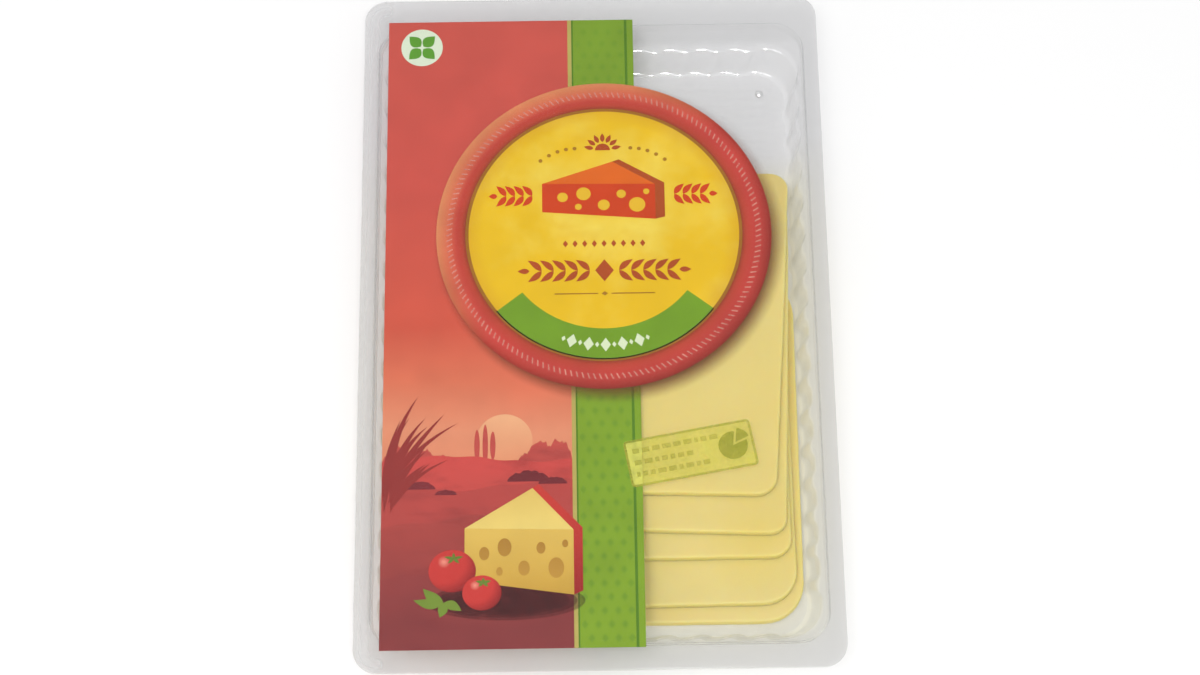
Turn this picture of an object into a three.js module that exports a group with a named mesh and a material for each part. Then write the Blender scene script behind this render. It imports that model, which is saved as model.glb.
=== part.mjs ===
// A pack of sliced cheese lying on its base with the lid up: a clear formed
// tray, a clear printed film sealed over it, and five slices fanned out inside.
// Millimetres, +Z up. X runs across the pack and Y along it, and the back of
// the pack (+Y) is the end where the slices stop short of the wall.
// The origin is under the middle of the pack, on the surface that it lies on.
import * as THREE from "three";

// Outlines seen from above: reach to each side, to the front and to the back
const PACK = { side: 70, front: 107.75, back: 107.75, radius: 7 };
const MOUTH = { side: 64.8, front: 99.6, back: 97.5, radius: 8.5 };
const WALL_TOP = { side: 63.2, front: 97.6, back: 90.6, radius: 9.5 };
const WALL_FOOT = { side: 61.5, front: 95.4, back: 89.5, radius: 10.5 };

// Tray: sheet thickness and the heights of its upper face
const SHEET = 0.5;
const FLOOR_HEIGHT = SHEET;
const LEDGE_HEIGHT = 12;
const RIM_HEIGHT = 15;
const BEND = 0.5;
const FOOT_BEND = 1;

// Stiffening groove pressed into the rim
const GROOVE_INSET = 2.4;
const GROOVE_WIDTH = 1.6;
const GROOVE_DEPTH = 0.35;

// Upright flutes round the wall
const FLUTE_DEPTH = 1.1;
const FLUTES_ACROSS = 11;
const FLUTES_ALONG = 16;
const STEPS_PER_FLUTE = 6;
const CORNER_STEPS = 6;

// Lid film
const GAP = 0.3;
const FILM_THICKNESS = 0.3;

// Slices: a plate each, shifted towards the front from the top one down
const SLICE_WIDTH = 110;
const SLICE_LENGTH = 108;
const SLICE_THICKNESS = 2.3;
const SLICE_PITCH = SLICE_THICKNESS + GAP;
const DROOP_LENGTH = 16;

// Grid of points on a slice: long steps where it is flat, short ones further
// back than BEND_START, where it bends
const BEND_START = 6;
const FLAT_ROWS = 4;
const BEND_ROWS = 14;
const SLICE_COLUMNS = 5;
const SLICE_CORNER_STEPS = 4;

// Centre, turn seen from above in degrees, lean of the side edges from square in
// degrees, and corner radius, top slice first
const SLICES = [
  { x: 1.0, y: -0.3, turn: -1.9, lean: -2.5, corner: 6 },
  { x: 2.0, y: -10.9, turn: -2.2, lean: -0.4, corner: 5 },
  { x: 0.6, y: -19.2, turn: 0.2, lean: 0.3, corner: 6 },
  { x: 2.0, y: -32.6, turn: 0.4, lean: 0, corner: 10 },
  { x: 4.6, y: -37.0, turn: 0, lean: -0.3, corner: 12 },
];

const clearPlastic = new THREE.MeshStandardMaterial({
  color: 0xe9edef,
  roughness: 0.12,
  metalness: 0,
  transparent: true,
  opacity: 0.4,
});
const printedFilm = new THREE.MeshStandardMaterial({
  color: 0xc9524a,
  roughness: 0.18,
  metalness: 0,
  transparent: true,
  opacity: 0.6,
});
const cheese = new THREE.MeshStandardMaterial({
  color: 0xecd98b,
  roughness: 0.55,
  metalness: 0,
});

// The same outline moved outwards by a distance all round
function grow(outline, distance) {
  return {
    side: outline.side + distance,
    front: outline.front + distance,
    back: outline.back + distance,
    radius: outline.radius + distance,
  };
}

// A rounded rectangle at one height, anticlockwise seen from above.
// "at" tells how far round a point is, and is alike on every ring: it runs
// from 0 to 4, half of each unit on a corner and half on the side after it.
function ring(outline, z, fluteDepth = 0) {
  const { side, front, back, radius } = outline;
  const centres = [
    [side - radius, back - radius],
    [radius - side, back - radius],
    [radius - side, radius - front],
    [side - radius, radius - front],
  ];
  const points = [];
  centres.forEach(([x, y], corner) => {
    for (let i = 0; i <= CORNER_STEPS; i++) {
      const share = i / CORNER_STEPS;
      const angle = ((corner + share) * Math.PI) / 2;
      points.push({
        at: corner + share / 2,
        place: [x + radius * Math.cos(angle), y + radius * Math.sin(angle), z],
      });
    }
    if (fluteDepth > 0) {
      points.push(...flutedSide(centres, corner, radius, z, fluteDepth));
    }
  });
  return points;
}

// The side after a corner, waving inwards from its straight line
function flutedSide(centres, corner, radius, z, fluteDepth) {
  const [x, y] = centres[corner];
  const [nextX, nextY] = centres[(corner + 1) % centres.length];
  const outwards = ((corner + 1) * Math.PI) / 2;
  const flutes = corner % 2 === 0 ? FLUTES_ACROSS : FLUTES_ALONG;
  const steps = flutes * STEPS_PER_FLUTE;
  const points = [];
  for (let i = 1; i < steps; i++) {
    const share = i / steps;
    const wave = (1 - Math.cos(2 * Math.PI * flutes * share)) / 2;
    const reach = radius - fluteDepth * wave;
    const alongX = THREE.MathUtils.lerp(x, nextX, share);
    const alongY = THREE.MathUtils.lerp(y, nextY, share);
    points.push({
      at: corner + (1 + share) / 2,
      place: [alongX + reach * Math.cos(outwards), alongY + reach * Math.sin(outwards), z],
    });
  }
  return points;
}

// Triangles between two rings, which may have different numbers of points
function bridge(inner, outer, faces) {
  const next = (points, i) => (i + 1 < points.length ? points[i + 1].at : 4);
  let i = 0;
  let j = 0;
  while (i < inner.length || j < outer.length) {
    const a = inner[i % inner.length].index;
    const b = outer[j % outer.length].index;
    const outerFirst = j < outer.length && (i >= inner.length || next(outer, j) <= next(inner, i));
    if (outerFirst) {
      j += 1;
      faces.push(a, b, outer[j % outer.length].index);
    } else {
      i += 1;
      faces.push(a, b, inner[i % inner.length].index);
    }
  }
}

// A closed body from a chain of rings: the first is filled facing up, the last
// facing down, and each is joined to the next
function ringBody(rings) {
  const places = [];
  const faces = [];
  for (const points of rings) {
    for (const point of points) {
      point.index = places.length / 3;
      places.push(...point.place);
    }
  }
  const top = rings[0];
  const bottom = rings[rings.length - 1];
  for (let i = 1; i + 1 < top.length; i++) {
    faces.push(top[0].index, top[i].index, top[i + 1].index);
  }
  for (let i = 0; i + 1 < rings.length; i++) {
    bridge(rings[i], rings[i + 1], faces);
  }
  for (let i = 1; i + 1 < bottom.length; i++) {
    faces.push(bottom[0].index, bottom[i + 1].index, bottom[i].index);
  }
  return indexedGeometry(places, faces);
}

function indexedGeometry(places, faces) {
  const geometry = new THREE.BufferGeometry();
  geometry.setAttribute("position", new THREE.Float32BufferAttribute(places, 3));
  geometry.setIndex(faces);
  geometry.computeVertexNormals();
  return geometry;
}

// The tray's upper face from the floor out to the rim: outline, height, flutes
function trayStations() {
  const grooveFloor = RIM_HEIGHT - GROOVE_DEPTH;
  const grooveOuter = grow(PACK, -GROOVE_INSET);
  const grooveInner = grow(grooveOuter, -GROOVE_WIDTH);
  return [
    [grow(WALL_FOOT, -FOOT_BEND - FLUTE_DEPTH / 2), FLOOR_HEIGHT, 0],
    [WALL_FOOT, FLOOR_HEIGHT + FOOT_BEND, FLUTE_DEPTH],
    [WALL_TOP, LEDGE_HEIGHT - BEND, FLUTE_DEPTH],
    [grow(WALL_TOP, BEND), LEDGE_HEIGHT, 0],
    [grow(MOUTH, -BEND), LEDGE_HEIGHT, 0],
    [MOUTH, LEDGE_HEIGHT + BEND, 0],
    [grow(MOUTH, BEND / 2), RIM_HEIGHT - BEND, 0],
    [grow(MOUTH, BEND), RIM_HEIGHT, 0],
    [grow(grooveInner, -GROOVE_DEPTH), RIM_HEIGHT, 0],
    [grooveInner, grooveFloor, 0],
    [grooveOuter, grooveFloor, 0],
    [grow(grooveOuter, GROOVE_DEPTH), RIM_HEIGHT, 0],
  ];
}

// The tray: the upper face, the cut edge, and the same face one sheet lower
function trayGeometry() {
  const stations = trayStations();
  const upper = stations.map(([outline, z, flute]) => ring(outline, z, flute));
  const lower = stations.map(([outline, z, flute]) => {
    return ring(grow(outline, SHEET), z - SHEET, flute);
  });
  const edge = [ring(PACK, RIM_HEIGHT), ring(PACK, RIM_HEIGHT - SHEET)];
  return ringBody([...upper, ...edge, ...lower.reverse()]);
}

function filmGeometry() {
  const underside = RIM_HEIGHT + GAP;
  return ringBody([ring(PACK, underside + FILM_THICKNESS), ring(PACK, underside)]);
}

// 1 while the slice lies under a point, easing to 0 past its back edge
function support(slice, x, y) {
  const turn = THREE.MathUtils.degToRad(slice.turn);
  const along = (y - slice.y) * Math.cos(turn) - (x - slice.x) * Math.sin(turn);
  const past = (along - SLICE_LENGTH / 2) / DROOP_LENGTH;
  return 1 - THREE.MathUtils.smoothstep(past, 0, 1);
}

// Height of a slice's underside: it lies on those below and droops past them
function underside(order, x, y) {
  const below = SLICES.slice(order + 1);
  const lift = below.reduce((sum, slice) => sum + support(slice, x, y), 0);
  return FLOOR_HEIGHT + GAP + SLICE_PITCH * lift;
}

// Rows across a slice from front to back: place along it and half width there.
// Extra rows at both ends follow the rounded corners.
function sliceRows(corner) {
  const rows = [];
  const straight = SLICE_LENGTH / 2 - corner;
  for (let i = 0; i < SLICE_CORNER_STEPS; i++) {
    const angle = (i / SLICE_CORNER_STEPS) * (Math.PI / 2);
    const along = straight + corner * Math.cos(angle);
    const half = SLICE_WIDTH / 2 - corner + corner * Math.sin(angle);
    rows.push([-along, half]);
  }
  const back = rows.map(([along, half]) => [-along, half]).reverse();
  for (let i = 0; i < FLAT_ROWS; i++) {
    rows.push([THREE.MathUtils.lerp(-straight, BEND_START, i / FLAT_ROWS), SLICE_WIDTH / 2]);
  }
  for (let i = 0; i <= BEND_ROWS; i++) {
    rows.push([THREE.MathUtils.lerp(BEND_START, straight, i / BEND_ROWS), SLICE_WIDTH / 2]);
  }
  return [...rows, ...back];
}

function sliceGeometry(order) {
  const slice = SLICES[order];
  const turn = THREE.MathUtils.degToRad(slice.turn);
  const lean = Math.tan(THREE.MathUtils.degToRad(slice.lean));
  const rows = sliceRows(slice.corner);
  const places = [];
  for (const lift of [0, SLICE_THICKNESS]) {
    for (const [along, half] of rows) {
      for (let i = 0; i <= SLICE_COLUMNS; i++) {
        const across = THREE.MathUtils.lerp(-half, half, i / SLICE_COLUMNS) - lean * along;
        const x = slice.x + across * Math.cos(turn) - along * Math.sin(turn);
        const y = slice.y + across * Math.sin(turn) + along * Math.cos(turn);
        places.push(x, y, underside(order, x, y) + lift);
      }
    }
  }
  return indexedGeometry(places, plateFaces(rows.length, SLICE_COLUMNS + 1));
}

// Faces of a plate whose lower grid of points is followed by its upper one
function plateFaces(rows, columns) {
  const faces = [];
  const upper = rows * columns;
  const quad = (a, b, c, d) => faces.push(a, b, c, a, c, d);
  for (let row = 0; row + 1 < rows; row++) {
    for (let column = 0; column + 1 < columns; column++) {
      const low = row * columns + column;
      const high = low + upper;
      quad(low, low + columns, low + columns + 1, low + 1);
      quad(high, high + 1, high + columns + 1, high + columns);
    }
  }
  for (let row = 0; row + 1 < rows; row++) {
    const left = row * columns;
    const right = left + columns - 1;
    quad(left, left + upper, left + columns + upper, left + columns);
    quad(right, right + columns, right + columns + upper, right + upper);
  }
  const last = (rows - 1) * columns;
  for (let column = 0; column + 1 < columns; column++) {
    quad(column, column + 1, column + 1 + upper, column + upper);
    const back = last + column;
    quad(back, back + upper, back + 1 + upper, back + 1);
  }
  return faces;
}

function named(name, geometry, material) {
  const mesh = new THREE.Mesh(geometry, material);
  mesh.name = name;
  return mesh;
}

const pack = new THREE.Group();
pack.add(named("tray", trayGeometry(), clearPlastic));
pack.add(named("lid_film", filmGeometry(), printedFilm));
SLICES.forEach((_, order) => {
  pack.add(named(`slice_${order + 1}`, sliceGeometry(order), cheese));
});

export default pack;
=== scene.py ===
"""A flat pack of sliced cheese: clear formed tray, printed clear film, five slices."""

import random
from collections import namedtuple
from math import cos, hypot, pi, radians, sin, tan, tanh

import bmesh
import bpy
from mathutils import Matrix, Vector, noise


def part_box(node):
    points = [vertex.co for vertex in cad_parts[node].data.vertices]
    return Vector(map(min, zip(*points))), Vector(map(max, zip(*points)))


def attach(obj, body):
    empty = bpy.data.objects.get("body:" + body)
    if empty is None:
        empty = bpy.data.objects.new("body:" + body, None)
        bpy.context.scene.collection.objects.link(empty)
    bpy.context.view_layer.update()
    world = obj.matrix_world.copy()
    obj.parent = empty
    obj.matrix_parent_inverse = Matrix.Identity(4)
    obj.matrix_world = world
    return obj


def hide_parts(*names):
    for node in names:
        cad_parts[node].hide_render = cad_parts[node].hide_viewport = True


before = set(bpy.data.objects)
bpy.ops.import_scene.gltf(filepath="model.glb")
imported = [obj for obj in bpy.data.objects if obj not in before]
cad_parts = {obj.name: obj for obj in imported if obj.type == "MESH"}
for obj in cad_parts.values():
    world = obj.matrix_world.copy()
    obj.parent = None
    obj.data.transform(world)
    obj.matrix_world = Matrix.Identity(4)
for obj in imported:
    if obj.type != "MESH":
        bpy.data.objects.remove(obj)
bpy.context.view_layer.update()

# Lengths below are in millimetres in the frame of the CAD model
MM = 0.001
tray_low, tray_high = (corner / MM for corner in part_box("tray"))
film_low, film_high = (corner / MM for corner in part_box("lid_film"))

Outline = namedtuple("Outline", "side front back radius")
PACK = Outline(film_high.x, -film_low.y, film_high.y, 7)
MOUTH = Outline(65.2, 100.0, 97.9, 8.9)
LEDGE = Outline(64.7, 99.5, 97.4, 8.4)
WALL_TOP = Outline(63.3, 97.7, 90.7, 9.6)
WALL_FOOT = Outline(61.3, 95.2, 89.3, 10.3)
FLOOR = Outline(57.0, 91.0, 84.5, 7.0)

# Tray sheet and the heights of its upper face
SHEET = 0.5
FLOOR_HEIGHT = tray_low.z + SHEET
LEDGE_HEIGHT = 12
RIM_HEIGHT = tray_high.z
FLUTE_DEPTH = 1.1
END_FLUTE_SHARE = 0.7
FLUTES_ACROSS = 11
FLUTES_ALONG = 16
FLUTE_SHARPNESS = 2.2
FLUTE_BIAS = 0.25
STEPS_PER_FLUTE = 16
GROOVE_INSET = 2.3
GROOVE_WIDTH = 1.2
GROOVE_DEPTH = 0.2
GROOVE_FLANK = 0.9
TRAY_CORNER_STEPS = 14

# Moulded pip on the tray's floor: a cap of a ball, out to an angle in degrees
PIP = Vector((52.4, 81.1))
PIP_CURVE = 1.5
PIP_EDGE = 60

# Film: rings of points from its middle outwards, and room above it for its waves
FILM_INSETS = [60, 54, 48, 42, 36, 30, 25, 20, 16, 12, 9, 6, 4, 2, 0]
FILM_ROOM = 0.1

# Slices, as in the CAD model, top slice first
SLICE_WIDTH = 110
SLICE_LENGTH = 108
SLICE_THICKNESS = 2.3
SLICE_GAP = 0.3
SLICE_SWELL = 0.36
SLICE_PITCH = SLICE_THICKNESS + SLICE_GAP
SLICE_LIFT = 0.1
SLICE_RIPPLE = 0.12
KNIFE_MARKS = 0.12
DROOP_LENGTH = 16
Slice = namedtuple("Slice", "x y turn lean corner")
SLICES = [
    Slice(1.0, -0.3, -1.9, -2.5, 6),
    Slice(2.0, -10.9, -2.2, -0.4, 5),
    Slice(0.6, -19.2, 0.2, 0.3, 6),
    Slice(2.0, -32.6, 0.4, 0.0, 10),
    Slice(4.6, -37.0, 0.0, -0.3, 12),
]

# Print: thin layers of ink just under the film
INK_BASE = RIM_HEIGHT + 0.04
INK_LAYER = 0.02
INK_THICKNESS = 0.01
OVERLAP_STEP = 0.0006
PRINT_LEFT, PRINT_RIGHT = -62.6, 13.0
PRINT_FRONT, PRINT_BACK = -101.2, 100.3
PANEL_RIGHT = -7.3
STRIPE_LEFT = -6.1

# Landscape on the red panel
SUN = Vector((-27, -38.5))
SUN_RADIUS = 8.2
Clump = namedtuple("Clump", "x y half tall")
HEDGE = [
    Clump(-58, -46, 4.5, 1.3), Clump(-51, -46, 4.0, 1.3), Clump(-45, -46, 3.2, 1.0),
    Clump(-38.5, -46, 2.2, 1.0), Clump(-20.5, -46, 2.6, 1.3), Clump(-16.5, -46, 4.2, 1.7),
    Clump(-11.2, -46, 3.9, 1.9),
]
BUSHES = [
    Clump(-20, -51.2, 6.2, 0.5), Clump(-13, -52, 4.2, 0.5),
    Clump(-52, -53.2, 5.0, 0.5), Clump(-44, -55, 3.2, 0.5),
]
POPLARS = [(-35, 5), (-32.6, 6.6), (-30.4, 4.4)]
POPLAR_MIDDLE = -40
POPLAR_HALF = 0.8
Hill = namedtuple("Hill", "level swing pace phase light dark")
HILLS = [
    Hill(-44, 1.0, 0.115, 0.4, (208, 76, 70), (196, 76, 68)),
    Hill(-52, 1.6, 0.085, 2.1, (188, 72, 66), (176, 70, 64)),
    Hill(-64, 2.4, 0.07, 3.9, (170, 68, 62), (156, 64, 60)),
    Hill(-79, 2.2, 0.095, 5.2, (152, 62, 60), (136, 56, 56)),
]
HILL_DEPTH = 16
REED_COUNT = 15
REED_FOOT_X, REED_FOOT_Y = PRINT_LEFT + 0.6, -57

# Wedge of cheese 36 mm wide drawn in two faces, its tip at the left
WEDGE_TOP = [(0, 5.5), (22.5, 13.5), (36, 5)]
WEDGE_FRONT = [(0, 5.5), (36, 5), (36, -8), (0, -5)]
WEDGE_RIND = [(22.5, 13.5), (24.6, 14.3), (39, 5.4), (39, -7.2), (36, -8), (36, 5)]
WEDGE_HOLES = [
    (6.5, 0.4, 1.7), (13.2, 1.6, 2.3), (11.5, -3.2, 1.1), (19.6, -2.6, 1.9),
    (25.2, 1.4, 1.5), (30.2, -2.6, 2.6), (33.2, 2.2, 1.0),
]
Wedge = namedtuple("Wedge", "name x y across tall")
Tomato = namedtuple("Tomato", "x y radius")
PANEL_WEDGE = Wedge("wedge", -38.5, -73.5, 0.87, 1.5)
TOMATOES = [Tomato(-42.0, -78.0, 6.8), Tomato(-33.5, -84.6, 5.6)]
HERB_STEM = Vector((-44.5, -87.5))
HERB_STEP = 0.002

# Round label
LABEL = Vector((3.0, 27.6))
RING_RADIUS = 50.4
DISC_RADIUS = 41.6
LABEL_SHADOW = LABEL + Vector((1.7, -2.1))
SHADOW_RADIUS = RING_RADIUS + 2.6
TWIST = [(-0.85, -0.55), (-0.85, -0.1), (0.85, 0.65), (0.85, 0.2)]
TWIST_COUNT = 168
TWIST_RADIUS = 46.5
BANNER_INNER = 31.2
BANNER_START, BANNER_END = 218, 322
BANNER_MARK_RADIUS = 36.4
BANNER_MARK_ANGLE = 4.0
EMBLEM_WEDGE = Wedge("emblem", LABEL.x - 18.5, LABEL.y + 11.5, 0.95, 0.9)
Ear = namedtuple("Ear", "start length count size")
EMBLEM_EAR = Ear(21.5, 10.5, 4, 3.4)
RULE_EAR = Ear(4.4, 18.0, 5, 3.5)

# Stripe's lines and pattern, badge and stamp
EDGE_LINES = [(STRIPE_LEFT, STRIPE_LEFT + 0.5), (10.3, 11.1)]
LOZENGE_ROWS, LOZENGE_COLUMNS = 49, 4
ROW_PITCH, COLUMN_PITCH = 4.05, 3.8
BADGE = Vector((-52.3, 91.4))
BADGE_RADIUS = 6.4
STAMP = Vector((27.2, -43.2))
STAMP_TURN = 10.3
STAMP_OUTLINE = Outline(18.8, 7.2, 7.2, 1.2)
STAMP_LINE = 0.7

# Camera, from the photograph's perspective
CAMERA_TILT = radians(22.31)
CAMERA_ROLL = radians(-0.44)
CAMERA_YAW = radians(0.45)
CAMERA_TARGET = Vector((1.33, -6.66, film_high.z))
CAMERA_DISTANCE = 799.5
CAMERA_LENS = 81.09
CAMERA_SENSOR = 36

# Studio: an even white, and square lamps at places in metres that face the object
FLOOR_REACH = 2500
WORLD_LIGHT = 0.68
Lamp = namedtuple("Lamp", "name place size power lights_surfaces")
LAMPS = [
    Lamp("key", (-0.3, -0.4, 1.4), 0.6, 9, True),
    Lamp("flash", (0.065, -0.37, 0.88), 0.07, 1.6, True),
    Lamp("glint", (0.05, -0.36, 0.86), 0.06, 7, False),
]

# Clear sheets: light let through, haze and gloss, each seen face on and edge on
Plastic = namedtuple("Plastic", "name face edge haze gloss roughness ripple")
TRAY_PLASTIC = Plastic("clear_tray", 0.985, 0.95, (0.06, 0.34), (0.035, 0.45), 0.07, 0.02)
PIP_PLASTIC = Plastic("clear_pip", 1.0, 1.0, (0.4, 0.0), (0.4, 0.05), 0.4, 0.0)
FILM_PLASTIC = Plastic("clear_film", 0.96, 0.93, (0.004, 0.1), (0.016, 0.3), 0.09, 0.007)

# Places where the tray's look changes: past its back wall, beside the cheese, where a
# painted yellow cast stands in for light from the cheese, and on the upper part of its left wall
PRESSED_Y = (93, 95)
CHEESE_BOUNCE_Y = (60, 46)
CLOUDY_X = (-60.5, -62.5)
CLOUDY_FROM_TOP = (RIM_HEIGHT - 0.2, RIM_HEIGHT - 1.0)
CLOUDY_FROM_LEDGE = (LEDGE_HEIGHT - 0.9, LEDGE_HEIGHT - 0.6)

# Ink and cheese
INK_ROUGHNESS = 0.42
INK_DRIFT = 3
RICH_SPOT = Vector((46, -68))


def direction(angle):
    """A step of one along an angle."""
    return Vector((cos(angle), sin(angle)))


# Materials

def linear(red, green, blue):
    """Scene colour of a colour given as 0 to 255 screen values."""
    def channel(value):
        value /= 255
        return value / 12.92 if value <= 0.04045 else ((value + 0.055) / 1.055) ** 2.4
    return (channel(red), channel(green), channel(blue), 1.0)


class Shader:
    """A material's node tree, filled by short calls."""

    def __init__(self, name):
        self.material = bpy.data.materials.new(name)
        self.material.use_nodes = True
        self.tree = self.material.node_tree
        self.tree.nodes.clear()
        self.output = self.tree.nodes.new("ShaderNodeOutputMaterial")

    def add(self, kind, inputs=None, **settings):
        """A node with its inputs set, or linked where the value is a socket."""
        node = self.tree.nodes.new("ShaderNode" + kind)
        for key, value in settings.items():
            setattr(node, key, value)
        for key, value in (inputs or {}).items():
            if isinstance(value, bpy.types.NodeSocket):
                self.tree.links.new(value, node.inputs[key])
            else:
                node.inputs[key].default_value = value
        return node

    def place(self):
        """The place in the frame of the CAD model, in metres."""
        return self.add("TexCoord").outputs["Object"]

    def coordinates(self):
        """X, Y and Z of the place."""
        split = self.add("SeparateXYZ", {"Vector": self.place()})
        return split.outputs["X"], split.outputs["Y"], split.outputs["Z"]

    def noise(self, scale, detail=2.0, roughness=0.5, stretch=1.0):
        """Noise with a given number of features for each metre, from 0 to 1.

        Its features are drawn out along X by the stretch."""
        place = self.place()
        if stretch != 1.0:
            squeeze = {0: place, 1: (1 / stretch, 1, 1)}
            place = self.add("VectorMath", squeeze, operation="MULTIPLY").outputs[0]
        inputs = {"Vector": place, "Scale": scale, "Detail": detail, "Roughness": roughness}
        return self.add("TexNoise", inputs).outputs["Fac"]

    def math(self, operation, first, second=0.0):
        return self.add("Math", {0: first, 1: second}, operation=operation).outputs[0]

    def times(self, first, second):
        return self.math("MULTIPLY", first, second)

    def remap(self, value, low, high, to_low=0.0, to_high=1.0):
        inputs = {"Value": value, "From Min": low, "From Max": high}
        inputs.update({"To Min": to_low, "To Max": to_high})
        return self.add("MapRange", inputs).outputs[0]

    def fade(self, place, start, end, to_start=0.0, to_end=1.0):
        """A value that changes between two places, which are in millimetres."""
        return self.remap(place, start * MM, end * MM, to_start, to_end)

    def ramp(self, value, stops):
        """Colours along a value from 0 to 1; stops are (place, colour)."""
        node = self.add("ValToRGB", {"Fac": value})
        elements = node.color_ramp.elements
        while len(elements) < len(stops):
            elements.new(0.5)
        for element, (place, colour) in zip(elements, stops):
            element.position = place
            element.color = colour
        return node.outputs["Color"]

    def mix(self, share, first, second, blend="MIX"):
        inputs = {0: share, 6: first, 7: second}
        return self.add("Mix", inputs, data_type="RGBA", blend_type=blend).outputs[2]

    def tint_towards(self, colour, mask, strength, tint_towards):
        """The colour, tinted towards another by a given strength where the mask is 1: used for real
        colour, print shading and painted shade.
        """
        return self.mix(self.times(mask, strength), colour, linear(*tint_towards))

    def blend(self, share, first, second):
        """Two surfaces in one."""
        inputs = {0: share, 1: first.outputs[0], 2: second.outputs[0]}
        return self.add("MixShader", inputs)

    def bump(self, height, distance, strength=1.0):
        inputs = {"Height": height, "Distance": distance * MM, "Strength": strength}
        return self.add("Bump", inputs).outputs["Normal"]

    def finish(self, shader):
        self.tree.links.new(shader.outputs[0], self.output.inputs["Surface"])
        return self.material


def mottled(shader, colour, amount):
    """The colour with the soft unevenness of print: cloudy patches and fine grain."""
    patches = shader.remap(shader.noise(70, 3), 0.3, 0.7, 1 - amount, 1 + amount)
    grain = shader.remap(shader.noise(2400, 1), 0.2, 0.8, 1 - amount / 2, 1 + amount / 2)
    level = shader.times(patches, grain)
    grey = shader.add("CombineColor", {"Red": level, "Green": level, "Blue": level}).outputs[0]
    return shader.mix(1.0, colour, grey, "MULTIPLY")


def ink_surface(shader, colour):
    inputs = {"Base Color": colour, "Roughness": INK_ROUGHNESS, "Specular IOR Level": 0.05}
    inputs["Normal"] = shader.bump(shader.noise(1500, 2), 0.004, 0.3)
    return shader.add("BsdfPrincipled", inputs)


def finish_ink(shader, colour, amount):
    """The material of a printed field, uneven by a given amount."""
    return shader.finish(ink_surface(shader, mottled(shader, colour, amount)))


def spread(stops):
    """Stops for a ramp, their places as shares of the way from the first to the last."""
    first, last = stops[0][0], stops[-1][0]
    return [((at - first) / (last - first), linear(*colour)) for at, colour in stops]


def ink(name, colour, amount=0.05):
    """A printed field of one colour."""
    return finish_ink(Shader(name), linear(*colour), amount)


def gradient_ink(name, stops, amount=0.05):
    """A printed field whose colour changes along Y; stops are (Y, colour), front first."""
    shader = Shader(name)
    _, y, _ = shader.coordinates()
    drift = shader.remap(shader.noise(18, 2), 0.3, 0.7, -INK_DRIFT * MM, INK_DRIFT * MM)
    share = shader.fade(shader.math("ADD", y, drift), stops[0][0], stops[-1][0])
    return finish_ink(shader, shader.ramp(share, spread(stops)), amount)


def ground_ink(name, stops):
    """A printed field like gradient_ink, with long streaks across it."""
    shader = Shader(name)
    _, y, _ = shader.coordinates()
    streaks = shader.remap(shader.noise(150, 4, 0.6, stretch=4), 0.3, 0.7, -0.2, 0.2)
    share = shader.math("ADD", shader.fade(y, stops[0][0], stops[-1][0]), streaks)
    colour = shader.ramp(share, spread(stops))
    dark = shader.remap(shader.noise(240, 5, 0.65, stretch=3), 0.5, 0.75, 0.0, 0.4)
    return finish_ink(shader, shader.mix(dark, colour, linear(120, 40, 44)), 0.06)


def tomato_ink(name, tomato):
    """A printed round fruit, brightest at its back left."""
    shader = Shader(name)
    spot = Vector((tomato.x, tomato.y)) + Vector((-0.35, 0.4)) * tomato.radius
    distance, _, _ = from_centre(shader, spot)
    share = shader.fade(distance, 0.0, 1.5 * tomato.radius)
    body = (204, 58, 52)
    stops = [(0, (240, 150, 130)), (0.18, body), (0.6, body), (1, (136, 30, 32))]
    return finish_ink(shader, shader.ramp(share, spread(stops)), 0.05)


def sheer_ink(name, colour, cover):
    """A thin ink, a little uneven, that lets part of the light through."""
    shader = Shader(name)
    surface = ink_surface(shader, mottled(shader, linear(*colour), 0.06))
    patchy = shader.remap(shader.noise(260, 4, 0.65), 0.35, 0.65, 0.65 * cover, 1.25 * cover)
    return shader.finish(shader.blend(patchy, shader.add("BsdfTransparent"), surface))


def from_centre(shader, centre):
    """Distance from a point of the print, and the two coordinates from it."""
    place_x, place_y, _ = shader.coordinates()
    x = shader.math("SUBTRACT", place_x, centre[0] * MM)
    y = shader.math("SUBTRACT", place_y, centre[1] * MM)
    flat = shader.add("CombineXYZ", {"X": x, "Y": y}).outputs[0]
    distance = shader.add("VectorMath", {0: flat}, operation="LENGTH").outputs["Value"]
    return distance, x, y


def ring_ink():
    """The label's border, shaded like a rounded rim lit from the back left."""
    shader = Shader("ring_ink")
    distance, x, y = from_centre(shader, LABEL)
    across = shader.fade(distance, DISC_RADIUS, RING_RADIUS)
    colour = shader.ramp(across, spread([
        (0, (150, 60, 30)),
        (0.14, (186, 66, 46)),
        (0.4, (198, 66, 56)),
        (0.62, (206, 72, 64)),
        (0.86, (188, 60, 48)),
        (1, (164, 52, 38)),
    ]))
    side = shader.math("SUBTRACT", x, y)
    lit = shader.fade(side, -RING_RADIUS, RING_RADIUS, -0.7, 0.7)
    shade = shader.times(lit, shader.remap(across, 0.3, 1.0))
    colour = shader.tint_towards(colour, shader.remap(shade, 0.0, 0.9), 0.72, (120, 34, 26))
    colour = shader.tint_towards(colour, shader.remap(shade, 0.0, -0.75), 0.8, (236, 158, 104))
    return finish_ink(shader, colour, 0.08)


def disc_ink():
    """The label's yellow middle, with pale cloudy patches like cut cheese."""
    shader = Shader("disc_ink")
    distance, _, _ = from_centre(shader, LABEL)
    clouds = shader.remap(shader.noise(28, 4, 0.6), 0.48, 0.72)
    colour = shader.mix(clouds, linear(235, 191, 18), linear(244, 217, 86))
    streaks = shader.remap(shader.noise(60, 5, 0.65), 0.55, 0.8)
    colour = shader.tint_towards(colour, streaks, 0.5, (224, 170, 14))
    rim = shader.fade(distance, DISC_RADIUS - 5, DISC_RADIUS)
    colour = shader.tint_towards(colour, rim, 0.45, (206, 146, 30))
    return finish_ink(shader, colour, 0.04)


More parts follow.
